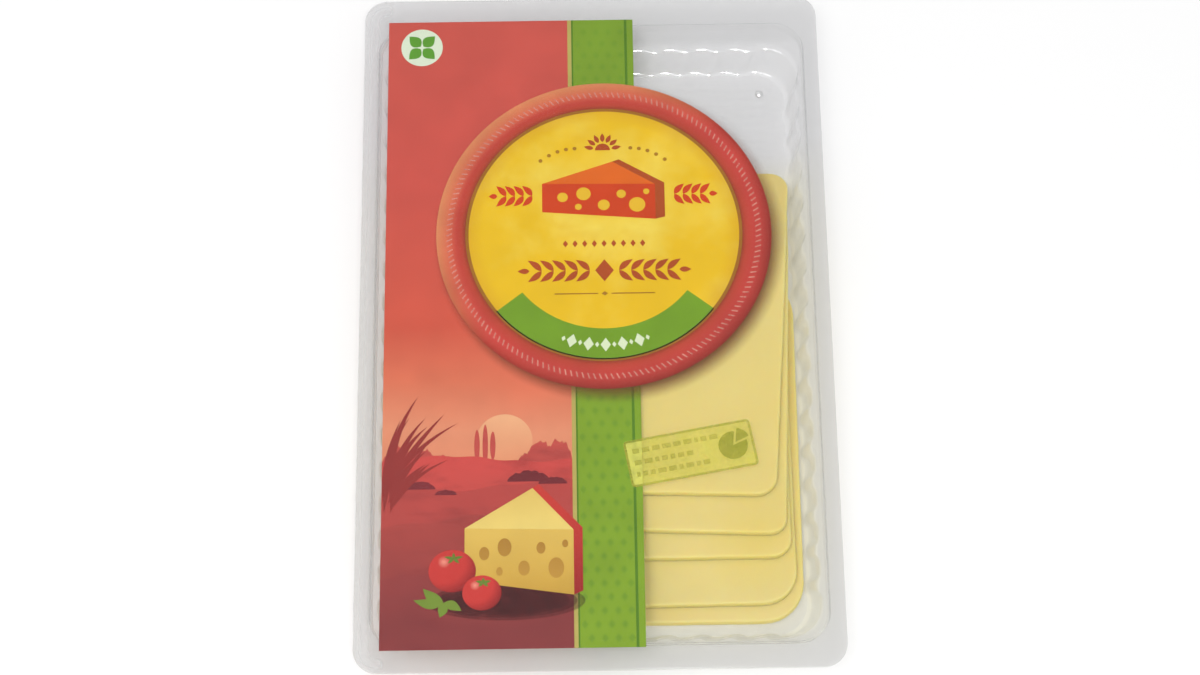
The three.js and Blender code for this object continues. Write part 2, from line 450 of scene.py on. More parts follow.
def shadow_ink():
    """The printed shadow round the label, fading outwards."""
    shader = Shader("label_shadow_ink")
    distance, _, _ = from_centre(shader, LABEL_SHADOW)
    near = shader.fade(distance, RING_RADIUS - 3, SHADOW_RADIUS, 1.0, 0.0)
    cover = shader.times(shader.math("POWER", near, 1.4), 0.5)
    surface = ink_surface(shader, linear(130, 66, 34))
    return shader.finish(shader.blend(cover, shader.add("BsdfTransparent"), surface))


def tray_masks(shader):
    """Where the tray is pressed flat, carries a painted yellow cast of light from the cheese, and is
    cloudy.
    """
    x, y, z = shader.coordinates()
    high = shader.fade(z, LEDGE_HEIGHT - 0.1, LEDGE_HEIGHT)
    pressed = shader.math("MAXIMUM", high, shader.fade(y, *PRESSED_Y))
    thin = shader.remap(pressed, 0.0, 1.0, 1.0, 0.2)
    # Painted bounced light: a yellow cast beside the cheese, fading away from it.
    cheese_bounce = shader.times(shader.fade(y, *CHEESE_BOUNCE_Y, 0.0, 0.5), thin)
    level = shader.times(shader.fade(z, *CLOUDY_FROM_TOP), shader.fade(z, *CLOUDY_FROM_LEDGE))
    cloudy = shader.times(shader.fade(x, *CLOUDY_X), level)
    return pressed, cheese_bounce, cloudy


def clear_plastic(plastic, sealed=False):
    """Clear sheet: dims and clouds what is behind it, more so where it is seen edge on.

    Where it is sealed, its pressed rim and ledge are darker and hardly shine."""
    shader = Shader(plastic.name)
    face, edge = plastic.face, plastic.edge
    normal = shader.bump(shader.noise(120, 3), plastic.ripple)
    facing = shader.add("LayerWeight", {"Blend": 0.5, "Normal": normal}).outputs["Facing"]
    steep = shader.math("POWER", facing, 2.0)
    tint = shader.mix(steep, (face * 0.998, face * 0.998, face, 1), (edge, edge, edge, 1))
    cover = shader.remap(shader.math("POWER", facing, 4.0), 0.0, 1.0, *plastic.haze)
    gloss = shader.remap(shader.math("POWER", facing, 5.0), 0.0, 1.0, *plastic.gloss)
    if sealed:
        pressed, cheese_bounce, cloudy = tray_masks(shader)
        # Painted bounced light from the cheese tints the plastic yellow beside it.
        tint = shader.mix(cheese_bounce, tint, shader.mix(1.0, tint, (1, 0.99, 0.9, 1), "MULTIPLY"))
        tint = shader.mix(pressed, tint, shader.mix(0.065, tint, (0, 0, 0, 1)))
        cover = shader.math("MAXIMUM", cover, shader.times(cloudy, 0.6))
        gloss = shader.times(gloss, shader.remap(pressed, 0.0, 1.0, 1.0, 0.02))
    clear = shader.add("BsdfTransparent", {"Color": tint})
    white = {"Color": (0.92, 0.92, 0.92, 1), "Normal": normal}
    milky = shader.blend(0.5, shader.add("BsdfDiffuse", white), shader.add("BsdfTranslucent", white))
    body = shader.blend(cover, clear, milky)
    bright = {"Color": (1, 1, 1, 1), "Roughness": plastic.roughness, "Normal": normal}
    return shader.finish(shader.blend(gloss, body, shader.add("BsdfAnisotropic", bright)))


def cheese_colour(shader):
    """Pale yellow with veils, richer patches, specks, and shade at steps and cut sides."""
    veils = shader.remap(shader.noise(35, 4, 0.6), 0.35, 0.7)
    colour = shader.mix(veils, linear(229, 210, 130), linear(234, 217, 144))
    rich = shader.remap(shader.noise(17, 3, 0.55), 0.5, 0.68)
    colour = shader.tint_towards(colour, rich, 0.35, (234, 208, 108))
    distance, _, _ = from_centre(shader, RICH_SPOT)
    colour = shader.tint_towards(colour, shader.fade(distance, 17, 2), 0.45, (228, 204, 98))
    _, y, _ = shader.coordinates()
    colour = shader.tint_towards(colour, shader.fade(y, -80, -92), 0.6, (226, 212, 148))
    open_sky = shader.add("AmbientOcclusion", {"Distance": 2.0 * MM}, samples=8).outputs["AO"]
    step_shade = shader.remap(open_sky, 1.0, 0.4, 0.0, 0.15)
    colour = shader.mix(step_shade, colour, linear(224, 205, 112))
    specks = shader.remap(shader.noise(900, 2), 0.62, 0.8)
    colour = shader.tint_towards(colour, specks, 0.3, (222, 198, 112))
    normal = shader.add("SeparateXYZ", {"Vector": shader.add("NewGeometry").outputs["Normal"]})
    # Painted shade on the slices' cut sides.
    cut_side = shader.remap(shader.math("ABSOLUTE", normal.outputs["Z"]), 0.85, 0.2)
    return shader.tint_towards(colour, cut_side, 0.8, (230, 212, 124))


def cheese_material():
    """Cut cheese: soft, slightly translucent, with tiny pits."""
    shader = Shader("cheese")
    pits = shader.times(shader.noise(1400, 3), 0.5)
    waves = shader.math("ADD", pits, shader.noise(110, 2))
    return shader.finish(shader.add("BsdfPrincipled", {
        "Base Color": cheese_colour(shader),
        "Roughness": 0.55,
        "Specular IOR Level": 0.15,
        "Subsurface Weight": 0.85,
        "Subsurface Radius": (1.0, 0.8, 0.45),
        "Subsurface Scale": 0.003,
        "Normal": shader.bump(waves, 0.12, 0.5),
    }))


def floor_material():
    shader = Shader("studio_floor")
    tone = shader.ramp(shader.noise(6, 2), [
        (0.3, (0.86, 0.86, 0.86, 1)),
        (0.7, (0.88, 0.88, 0.88, 1)),
    ])
    return shader.finish(shader.add("BsdfPrincipled", {
        "Base Color": tone,
        "Roughness": 0.9,
        "Specular IOR Level": 0.1,
    }))


# Meshes

def add_object(name, data):
    obj = bpy.data.objects.new(name, data)
    bpy.context.scene.collection.objects.link(obj)
    return obj


def new_object(name, verts, faces, material, smooth=True):
    """A mesh object from points in millimetres, with its faces turned outwards."""
    mesh = bpy.data.meshes.new(name)
    mesh.from_pydata([Vector(v) * MM for v in verts], [], faces)
    work = bmesh.new()
    work.from_mesh(mesh)
    bmesh.ops.recalc_face_normals(work, faces=work.faces)
    work.to_mesh(mesh)
    work.free()
    for polygon in mesh.polygons:
        polygon.use_smooth = smooth
    mesh.materials.append(material)
    return add_object(name, mesh)


def piece(name, rings, material):
    """A piece of the object from a chain of rings, which rides on its one body."""
    obj = new_object(name, *skin(rings), material)
    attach(obj, "root")
    return obj


def flatten(obj):
    """Shades broad faces flat, so that only the bends between them are curved."""
    obj.modifiers.new("broad_faces", "WEIGHTED_NORMAL").weight = 100


def grow(outline, distance):
    return Outline(*(value + distance for value in outline))


def flute_wave(turns):
    """0 on a flute's broad outer face, 1 on its narrower inner face."""
    def level(cosine):
        return tanh(FLUTE_SHARPNESS * (cosine + FLUTE_BIAS))
    return (level(1) - level(cos(2 * pi * turns))) / (level(1) - level(-1))


def loop(outline, across, along, corner_steps, flute=0.0, flutes=(0, 0)):
    """Points round a rounded rectangle, anticlockwise, as many on every outline.

    across and along are the steps on its short and long sides, and flute is how
    far those sides wave inwards."""
    side, front, back, radius = outline
    centres = [
        Vector((side - radius, back - radius)),
        Vector((radius - side, back - radius)),
        Vector((radius - side, radius - front)),
        Vector((side - radius, radius - front)),
    ]
    points = []
    for corner, centre in enumerate(centres):
        for i in range(corner_steps + 1):
            angle = (corner + i / corner_steps) * pi / 2
            points.append(centre + radius * direction(angle))
        outwards = direction((corner + 1) * pi / 2)
        following = centres[(corner + 1) % 4]
        on_end = corner % 2 == 0
        steps, waves = (across, flutes[0]) if on_end else (along, flutes[1])
        for i in range(1, steps):
            share = i / steps
            depth = flute * flute_wave(waves * share) if flute else 0.0
            depth *= END_FLUTE_SHARE if on_end else 1
            points.append(centre.lerp(following, share) + outwards * (radius - depth))
    return points


def skin(rings):
    """Points and faces of a closed body from a chain of equal rings."""
    count = len(rings[0])
    verts = [point for ring in rings for point in ring]
    faces = [list(range(count)), list(range(len(verts) - count, len(verts)))]
    for start in range(0, len(verts) - count, count):
        for i in range(count):
            after = (i + 1) % count
            faces.append([start + i, start + after, start + count + after, start + count + i])
    return verts, faces


# Tray

Station = namedtuple("Station", "side front back radius z flute bend")


def station(outline, z, flute=0.0, bend=0.0):
    return Station(*outline, z, flute, bend)


def tray_stations():
    """The tray's upper face from its floor out to the cut edge, corners sharp."""
    groove_outer = grow(PACK, -GROOVE_INSET)
    groove_inner = grow(groove_outer, -GROOVE_WIDTH)
    groove_floor = RIM_HEIGHT - GROOVE_DEPTH
    return [
        station(FLOOR, FLOOR_HEIGHT),
        station(WALL_FOOT, FLOOR_HEIGHT, FLUTE_DEPTH, 1.1),
        station(WALL_TOP, LEDGE_HEIGHT, FLUTE_DEPTH, 1.0),
        station(LEDGE, LEDGE_HEIGHT, 0, 0.05),
        station(MOUTH, RIM_HEIGHT, 0, 0.05),
        station(grow(groove_inner, -GROOVE_FLANK), RIM_HEIGHT, 0, 0.4),
        station(groove_inner, groove_floor, 0, 0.4),
        station(groove_outer, groove_floor, 0, 0.4),
        station(grow(groove_outer, GROOVE_FLANK), RIM_HEIGHT, 0, 0.4),
        station(PACK, RIM_HEIGHT),
    ]


def blend_stations(first, second, share):
    return Station(*(a + (b - a) * share for a, b in zip(first, second)))


def rounded(stations):
    """The stations with each bend replaced by a smooth curve."""
    result = [stations[0]]
    for before, here, after in zip(stations, stations[1:], stations[2:]):
        ends = []
        for other in (before, after):
            reach = hypot(other.side - here.side, other.z - here.z)
            ends.append(blend_stations(here, other, min(0.45, here.bend / reach)))
        steps = 6 if here.bend > 0.5 else 3
        for i in range(steps + 1):
            share = i / steps
            first = blend_stations(ends[0], here, share)
            second = blend_stations(here, ends[1], share)
            result.append(blend_stations(first, second, share))
    result.append(stations[-1])
    return result


def underneath(stations):
    """The same stations one sheet thickness below, square to the surface."""
    result = []
    for i, here in enumerate(stations):
        before = stations[max(i - 1, 0)]
        after = stations[min(i + 1, len(stations) - 1)]
        run = after.side - before.side
        rise = after.z - before.z
        size = hypot(run, rise)
        out = SHEET * rise / size
        outline = grow(Outline(*here[:4]), out)
        result.append(station(outline, here.z - SHEET * run / size, here.flute))
    return result


def tray_ring(place):
    flutes = (FLUTES_ACROSS, FLUTES_ALONG)
    steps = [count * STEPS_PER_FLUTE for count in flutes]
    points = loop(Outline(*place[:4]), *steps, TRAY_CORNER_STEPS, place.flute, flutes)
    return [(x, y, place.z) for x, y in points]


def make_tray(material):
    upper = rounded(tray_stations())
    lower = underneath(upper)
    lower[-1] = station(PACK, RIM_HEIGHT - SHEET)
    rings = [tray_ring(place) for place in upper + lower[::-1]]
    obj = piece("clear_tray", rings, material)
    flatten(obj)
    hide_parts("tray")


def make_pip(material):
    """The small moulded dot on the tray's floor."""
    steps = 12
    edge_height = cos(radians(PIP_EDGE))
    rings = []
    for i in range(steps + 1):
        angle = radians(PIP_EDGE * (1 - i / (steps + 0.5)))
        z = FLOOR_HEIGHT - 0.02 + PIP_CURVE * (cos(angle) - edge_height)
        rings.append([(x, y, z) for x, y in ellipse(*PIP, PIP_CURVE * sin(angle))])
    piece("tray_pip", rings, material)


# Film

def film_wave(x, y):
    """Slight unevenness of the stretched film inside the rim, as a height."""
    edge = min(MOUTH.side - abs(x), MOUTH.back - y, MOUTH.front + y)
    if edge <= 0:
        return 0.0
    ease = min(edge / 12, 1.0)
    coarse = noise.noise(Vector((x * 0.03, y * 0.022, 1.7)))
    fine = noise.noise(Vector((x * 0.09, y * 0.05, 4.1)))
    return ease * (0.07 * coarse + 0.03 * fine)


def make_film(material):
    under = film_low.z
    top = film_high.z - FILM_ROOM
    rings = []
    for height, insets in ((under, FILM_INSETS), (top, FILM_INSETS[::-1])):
        for inset in insets:
            outline = grow(PACK, -inset)._replace(radius=max(PACK.radius - inset, 0.5))
            points = loop(outline, 60, 90, 10)
            waves = [film_wave(x, y) if height == top else 0.0 for x, y in points]
            rings.append([(x, y, height + wave) for (x, y), wave in zip(points, waves)])
    obj = piece("clear_film", rings, material)
    flatten(obj)
    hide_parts("lid_film")


# Slices

def smooth_step(value):
    value = min(max(value, 0.0), 1.0)
    return value * value * (3 - 2 * value)


def support(below, x, y):
    """1 over the slice below, easing to 0 past its back edge."""
    turn = radians(below.turn)
    along = (y - below.y) * cos(turn) - (x - below.x) * sin(turn)
    return 1 - smooth_step((along - SLICE_LENGTH / 2) / DROOP_LENGTH)


def slice_underside(order, x, y):
    lift = sum(support(below, x, y) for below in SLICES[order + 1:])
    ripple = SLICE_RIPPLE * noise.noise(Vector((x * 0.04, y * 0.04, 0.3)))
    return FLOOR_HEIGHT + SLICE_GAP + SLICE_LIFT + SLICE_PITCH * lift + ripple


def slice_profile():
    """Insets from the slice's edge and the share of its thickness, centre to centre."""
    flat = [50, 47, 44, 41, 38, 35, 32, 29, 26, 23, 20, 17, 14, 11, 8.5, 6, 4, 2.2, 1.2, 0.6]
    lower = [(inset, 0.0) for inset in flat]
    side = [(0.1, 0.0), (0.0, 0.06), (0.02, 0.5), (0.1, 0.85), (0.3, 0.97)]
    upper = [(inset, 1.0) for inset in reversed(flat)]
    return lower + side + upper


def make_slice(order, material):
    place = SLICES[order]
    turn = Matrix.Rotation(radians(place.turn), 2)
    lean = tan(radians(place.lean))
    whole = Outline(SLICE_WIDTH / 2, SLICE_LENGTH / 2, SLICE_LENGTH / 2, place.corner)
    rings = []
    for inset, share in slice_profile():
        outline = grow(whole, -inset)._replace(radius=max(place.corner - inset, 0.6))
        ring = []
        for point in loop(outline, 48, 56, 8):
            point.x -= lean * point.y
            x, y = turn @ point + Vector((place.x, place.y))
            mark = noise.noise(Vector((x * 0.15, y * 0.15, order)))
            knife = KNIFE_MARKS * mark if inset < 1 else 0.0
            z = slice_underside(order, x, y) + (SLICE_THICKNESS + SLICE_SWELL) * share
            ring.append((x + knife, y + knife, z))
        rings.append(ring)
    node = f"slice_{order + 1}"
    obj = piece(f"cheese_{node}", rings, material)
    flatten(obj)
    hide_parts(node)


# Print: outlines in millimetres on the film

def rectangle(left, right, front, back):
    return [(left, front), (right, front), (right, back), (left, back)]


def ellipse(x, y, across, along=None, count=40):
    along = across if along is None else along
    angles = [2 * pi * i / count for i in range(count)]
    return [(x + across * cos(a), y + along * sin(a)) for a in angles]


def leaf(base, tip, width, bend=0.0):
    """A pointed leaf from base to tip, bent sideways by a share of its length."""
    steps = 9
    base, tip = Vector(base), Vector(tip)
    axis = tip - base
    side = Vector((-axis.y, axis.x))
    normal = side.normalized()
    one, other = [], []
    for i in range(steps + 1):
        share = i / steps
        half = width / 2 * sin(pi * share ** 0.8)
        middle = base + axis * share + side * bend * 4 * share * (1 - share)
        one.append(tuple(middle + normal * half))
        other.append(tuple(middle - normal * half))
    return one + other[-2:0:-1]


def lozenge(x, y, across, along):
    return [(x - across, y), (x, y - along), (x + across, y), (x, y + along)]


def arc_strip(centre, inner, outer, steps, start=0, end=360):
    """Quads of a band between two radii, between two angles in degrees."""
    rows = []
    for i in range(steps + 1):
        ray = direction(radians(start + (end - start) * i / steps))
        rows.append((tuple(centre + ray * inner), tuple(centre + ray * outer)))
    return [[a[0], a[1], b[1], b[0]] for a, b in zip(rows, rows[1:])]


def frame_strip(outer, inner):
    """Quads between two outlines of as many points."""
    edges = list(zip(outer, inner))
    return [[here[0], after[0], after[1], here[1]]
            for here, after in zip(edges, edges[1:] + edges[:1])]


def turned(polygons, degrees, centre):
    turn = Matrix.Rotation(radians(degrees), 2)
    centre = Vector(centre)
    return [[tuple(turn @ Vector(p) + centre) for p in polygon] for polygon in polygons]


def printed(name, polygons, layer, material, step=0.0):
    """The piece print_name: ink on flat polygons, a thin closed sheet at its layer.

    Layers count up from the lowest. Each polygon lies a small step above the one
    before it, where they overlap."""
    z = INK_BASE + INK_LAYER * layer
    work = bmesh.new()
    for order, polygon in enumerate(polygons):
        height = z + order * step
        corners = [work.verts.new((x * MM, y * MM, height * MM)) for x, y in polygon]
        work.faces.new(corners)
    bmesh.ops.remove_doubles(work, verts=work.verts, dist=0.001 * MM)
    bmesh.ops.recalc_face_normals(work, faces=work.faces)
    for face in work.faces:
        if face.normal.z < 0:
            face.normal_flip()
    name = f"print_{name}"
    mesh = bpy.data.meshes.new(name)
    work.to_mesh(mesh)
    work.free()
    mesh.materials.append(material)
    obj = add_object(name, mesh)
    thick = obj.modifiers.new("ink", "SOLIDIFY")
    thick.thickness = INK_THICKNESS * MM
    thick.offset = -1
    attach(obj, "root")


def hill_outline(hill):
    """A wavy line across the panel, closed round the panel's front."""
    steps = 60
    points = []
    for i in range(steps + 1):
        x = PRINT_LEFT + (PANEL_RIGHT - PRINT_LEFT) * i / steps
        wave = hill.swing * sin(hill.pace * x + hill.phase)
        wave += 0.25 * hill.swing * sin(4.3 * hill.pace * x)
        points.append((x, hill.level + wave))
    return points + [(PANEL_RIGHT, PRINT_FRONT), (PRINT_LEFT, PRINT_FRONT)]


def clump_outline(clump, chance):
    """A low rounded bush with a tufted top."""
    steps = 24
    height = clump.half * clump.tall
    points = []
    for i in range(steps + 1):
        angle = pi * (1 - i / steps)
        tuft = 1 + chance.uniform(-0.12, 0.14)
        x = clump.x + clump.half * cos(angle)
        points.append((x, clump.y + height * sin(angle) * tuft))
    return points


def sky_print():
    """An evening sky over the whole red field, with a low sun."""
    sky = gradient_ink("sky_ink", [
        (-50, (226, 140, 104)),
        (-36, (228, 146, 110)),
        (-22, (222, 118, 86)),
        (-4, (212, 88, 66)),
        (45, (206, 82, 70)),
        (PRINT_BACK, (203, 84, 72)),
    ], 0.06)
    field = rectangle(PRINT_LEFT, PANEL_RIGHT, PRINT_FRONT, PRINT_BACK)
    printed("panel", [field], 0, sky)
    sun = gradient_ink("sun_ink", [(-47, (230, 148, 108)), (-30, (238, 178, 132))])
    printed("sun", [ellipse(*SUN, SUN_RADIUS, count=56)], 1, sun)


def hedge_print(chance):
    """A far hedge and three poplars against the sky."""
    hedge = [clump_outline(clump, chance) for clump in HEDGE]
    poplars = [ellipse(x, POPLAR_MIDDLE, POPLAR_HALF, reach, 24) for x, reach in POPLARS]
    far = ground_ink("far_ink", [(-48, (190, 72, 66)), (-32, (204, 88, 76))])
    printed("hedge", hedge + poplars, 2, far, OVERLAP_STEP)


def hills_print(chance):
    """Rolling ground, each hill darker than the one behind it, with dark bushes."""
    for order, hill in enumerate(HILLS, 1):
        stops = [(hill.level - HILL_DEPTH, hill.dark), (hill.level, hill.light)]
        colour = ground_ink(f"hill_ink_{order}", stops)
        printed(f"hill_{order}", [hill_outline(hill)], 2.4 + order * 0.6, colour)
    bushes = [clump_outline(clump, chance) for clump in BUSHES]
    near = ink("near_bush_ink", (122, 40, 46), 0.15)
    printed("bushes", bushes, 5.6, near, OVERLAP_STEP)


def reeds_print(chance):
    """A tuft of long reeds at the left edge."""
    reed = ink("reed_ink", (150, 50, 46), 0.12)
    blades = []
    for _ in range(REED_COUNT):
        base = (REED_FOOT_X + chance.uniform(0, 3.0), REED_FOOT_Y + chance.uniform(-4, 5))
        reach = chance.uniform(14, 34)
        angle = radians(chance.uniform(38, 84))
        tip = (base[0] + reach * cos(angle) * 0.85, base[1] + reach * sin(angle))
        blades.append(leaf(base, tip, chance.uniform(1.0, 2.1), chance.uniform(0.02, 0.12)))
    printed("reeds", blades, 6, reed, OVERLAP_STEP)


def panel_print():
    """The red field: an evening sky over rolling ground, with reeds and bushes."""
    chance = random.Random(3)
    sky_print()
    hedge_print(chance)
    hills_print(chance)
    reeds_print(chance)


def stripe_print():
    """The green stripe with its pale lines and a tone-on-tone lozenge pattern."""
    shades = [(PRINT_FRONT, (130, 164, 36)), (PRINT_BACK, (123, 158, 38))]
    stripe = rectangle(STRIPE_LEFT, PRINT_RIGHT, PRINT_FRONT, PRINT_BACK)
    printed("stripe", [stripe], 0, gradient_ink("stripe_ink", shades))
    gold = ink("gold_ink", (186, 172, 92), 0.08)
    gold_line = rectangle(PANEL_RIGHT, STRIPE_LEFT, PRINT_FRONT, PRINT_BACK)
    printed("gold_line", [gold_line], 1, gold)
    deep = ink("deep_green_ink", (84, 128, 26), 0.06)
    lines = [rectangle(*sides, PRINT_FRONT, PRINT_BACK) for sides in EDGE_LINES]
    printed("edge_lines", lines, 1.6, deep)
    pattern = ink("pattern_ink", (115, 154, 36), 0.06)
    marks = []
    for row in range(LOZENGE_ROWS):
        y = PRINT_FRONT + 2.8 + row * ROW_PITCH
        shift = 0 if row % 2 else COLUMN_PITCH / 2
        for column in range(LOZENGE_COLUMNS):
            marks.append(lozenge(-4.2 + shift + column * COLUMN_PITCH, y, 1.0, 1.3))
    printed("lozenges", marks, 1, pattern)


def label_point(radius, degrees):
    return LABEL + radius * direction(radians(degrees))


def ring_print():
    """The label's shadow, and its border with a twisted cord in it."""
    shadow = arc_strip(LABEL_SHADOW, 40, SHADOW_RADIUS, 120)
    printed("label_shadow", shadow, 7, shadow_ink())
    printed("ring", arc_strip(LABEL, DISC_RADIUS - 1, RING_RADIUS, 160), 8, ring_ink())
    marks = []
    for i in range(TWIST_COUNT):
        angle = 360 * i / TWIST_COUNT
        marks += turned([TWIST], angle, label_point(TWIST_RADIUS, angle))
    printed("ring_marks", marks, 9, sheer_ink("ring_mark_ink", (246, 166, 146), 0.5))


def banner_print():
    """The green banner with a row of lozenges."""
    banner_ink = ink("banner_ink", (116, 158, 30), 0.07)
    banner = arc_strip(LABEL, BANNER_INNER, DISC_RADIUS - 0.5, 52, BANNER_START, BANNER_END)
    printed("banner", banner, 10, banner_ink)
    white = ink("white_ink", (222, 234, 196), 0.03)
    marks = []
    for i in range(-5, 6):
        size = 2.2 if i % 2 == 0 else 0.9
        angle = i * BANNER_MARK_ANGLE
        place = label_point(BANNER_MARK_RADIUS, 270 + angle)
        marks += turned([lozenge(0, 0, size * 0.7, size)], angle, place)
    printed("banner_marks", marks, 11, white)


def label_print():
    """The round label: shadow, ring, yellow middle with its rim, banner and emblem."""
    ring_print()
    rim = arc_strip(LABEL, DISC_RADIUS - 0.9, DISC_RADIUS + 0.05, 160)
    printed("rim", rim, 10, ink("rim_ink", (160, 104, 26), 0.1))
    printed("disc", [ellipse(*LABEL, DISC_RADIUS - 0.55, count=160)], 9, disc_ink())
    banner_print()
    emblem_print()


def wedge_shapes(wedge):
    """Top, front, rind and holes of the wedge, as lists of polygons."""
    x, y, across, tall = wedge[1:]

    def placed(polygon):
        return [[(x + px * across, y + py * tall) for px, py in polygon]]
    holes = [ellipse(x + hx * across, y + hy * tall, r * across, r * (across + tall) / 2, 28)
             for hx, hy, r in WEDGE_HOLES]
    return placed(WEDGE_TOP), placed(WEDGE_FRONT), placed(WEDGE_RIND), holes


def print_wedge(wedge, layer, inks):
    """The wedge's four parts, each in its own ink, on layers close above each other."""
    rises = {"top": 0, "front": 0.4, "rind": 0.6, "holes": 1}
    for (part, rise), shapes, material in zip(rises.items(), wedge_shapes(wedge), inks):
        printed(f"{wedge.name}_{part}", shapes, layer + rise, material)


def ear_outlines(base, side, ear):
    """A stalk of paired leaves along X, to one side, like an ear of corn."""
    x, y = base
    size = ear.size
    step = ear.length / ear.count
    shapes = []
    for i in range(ear.count):
        foot = (x + side * step * i, y)
        reach = side * step * 1.15
        shapes.append(leaf(foot, (foot[0] + reach, y + size), size * 0.55, 0.06 * side))
        shapes.append(leaf(foot, (foot[0] + reach, y - size), size * 0.55, -0.06 * side))
    end = (x + side * ear.length, y)
    shapes.append(leaf(end, (x + side * (ear.length + step), y), size * 0.5))
    return shapes


def ear_pair(y, ear):
    """Two ears at the same height, to the left and the right of the label's middle."""
    return [shape for side in (-1, 1)
            for shape in ear_outlines((LABEL.x + side * ear.start, y), side, ear)]


def emblem_print():
    """On the label's middle: a wedge of cheese between two ears, over rows of marks."""
    orange = ink("orange_ink", (208, 64, 10), 0.06)
    light = ink("light_orange_ink", (226, 104, 18), 0.06)
    brown = ink("brown_ink", (176, 76, 22), 0.08)
    tan = ink("tan_ink", (172, 122, 22), 0.08)
    hole = ink("hole_ink", (232, 186, 40), 0.04)
    print_wedge(EMBLEM_WEDGE, 10, (light, orange, brown, hole))
    printed("emblem_ears", ear_pair(LABEL.y + 12.5, EMBLEM_EAR), 10, orange, OVERLAP_STEP)
    printed("crest", crest_shapes(LABEL.x, LABEL.y + 27.5), 10, brown, OVERLAP_STEP)
    printed("label_dots", dot_arcs(LABEL.y + 28.2), 10, tan)
    row = [lozenge(LABEL.x + 2.9 * i, LABEL.y - 3.6, 0.8, 1.15) for i in range(-4, 5)]
    printed("small_row", row, 10, brown)
    y = LABEL.y - 12.4
    branch = [lozenge(LABEL.x, y, 2.8, 3.6)] + ear_pair(y, RULE_EAR)
    printed("leafy_rule", branch, 10, brown, OVERLAP_STEP)
    printed("thin_rule", thin_rule(y - 7.5), 10, tan)


def dot_arcs(y):
    """A falling row of dots on each side of the half sun."""
    return [ellipse(LABEL.x + side * (8.5 + 2.6 * i), y - 0.25 * i * i, 0.62, count=16)
            for side in (-1, 1) for i in range(5)]


def thin_rule(y):
    """Two thin lines with a small lozenge between them."""
    lines = []
    for side in (-1, 1):
        middle = LABEL.x + side * 8.5
        lines.append(rectangle(middle - 6.5, middle + 6.5, y - 0.2, y + 0.2))
    return lines + [lozenge(LABEL.x, y, 1.0, 0.7)]


def crest_shapes(x, y):
    """A half sun with seven rays."""
    angles = [pi * i / 16 for i in range(17)]
    shapes = [[(x + 2.3 * cos(a), y + 2.3 * sin(a)) for a in angles]]
    for i in range(7):
        ray = direction(pi * (i + 0.5) / 7)
        foot = Vector((x, y)) + ray * 2.8
        shapes.append(leaf(foot, foot + ray * 3.0, 1.4))
    return shapes


def panel_wedge_print():
    """The tall wedge of cheese with a red rind, and its soft shadow in four layers."""
    shade = sheer_ink("ground_shade_ink", (92, 30, 32), 0.2)
    for i in range(4):
        shape = ellipse(-26.5, -87.2, 22.5 - 2.2 * i, 5.6 - 0.8 * i, 64)
        printed(f"ground_shade_{i + 1}", [shape], 6 + 0.2 * i, shade)
    print_wedge(PANEL_WEDGE, 7, (
        gradient_ink("wedge_top_ink", [(-68, (236, 210, 118)), (-52, (226, 192, 98))]),
        gradient_ink("wedge_front_ink", [(-88, (204, 160, 62)), (-66, (226, 190, 92))]),
        gradient_ink("wedge_rind_ink", [(-86, (160, 36, 36)), (-54, (208, 62, 52))]),
        gradient_ink("wedge_hole_ink", [(-84, (196, 150, 62)), (-70, (176, 128, 48))]),
    ))


def tomato_print(order, tomato):
    """A tomato with a star of small leaves on it."""
    x, y, radius = tomato
    layer = 7.2 + 1.2 * order
    fruit = ellipse(x, y, radius, radius * 0.93, 48)
    printed(f"tomato_{order}", [fruit], layer, tomato_ink(f"tomato_ink_{order}", tomato))
    foot = Vector((x + 0.4, y + radius * 0.55))
    star = []
    for i in range(5):
        angle = radians(18 + 72 * i)
        reach = Vector((cos(angle) * 0.42, sin(angle) * 0.26)) * radius
        star.append(leaf(foot, foot + reach, 0.9))
    calyx = ink(f"calyx_ink_{order}", (104, 128, 44), 0.1)
    printed(f"tomato_leaf_{order}", star, layer + 0.5, calyx, OVERLAP_STEP)


def herb_print():
    """Four leaves from one stem."""
    herb = ink("herb_ink", (120, 146, 50), 0.12)
    tips = [((-8.5, 1.0), 3.0), ((-5.8, 4.4), 3.2), ((5.2, -2.4), 2.8), ((-1.0, -4.2), 2.8)]
    blades = [leaf(HERB_STEM, HERB_STEM + Vector(tip), width, 0.08) for tip, width in tips]
    printed("herb", blades, 10.4, herb, HERB_STEP)


def wedge_print():
    """At the lower left: a tall wedge of cheese with tomatoes and leaves beside it."""
    panel_wedge_print()
    for order, tomato in enumerate(TOMATOES, 1):
        tomato_print(order, tomato)
    herb_print()


def badge_print():
    """The small round badge in the back left corner: a four-petal flower."""
    white = ink("badge_white_ink", (222, 234, 208), 0.03)
    green = ink("badge_green_ink", (92, 156, 44), 0.08)
    printed("badge", [ellipse(*BADGE, BADGE_RADIUS, count=64)], 1, white)
    petals = []
    for i in range(4):
        ray = direction(radians(45 + 90 * i))
        petals.append(leaf(BADGE + ray * 0.6, BADGE + ray * 5.6, 3.7))
    printed("petals", petals, 2, green)


def left_of(polygon, limit):
    """The part of a polygon whose x is at most the limit."""
    result = []
    for (x, y), (next_x, next_y) in zip(polygon, polygon[1:] + polygon[:1]):
        if x <= limit:
            result.append((x, y))
        if (x <= limit) != (next_x <= limit):
            share = (limit - x) / (next_x - x)
            result.append((limit, y + (next_y - y) * share))
    return result


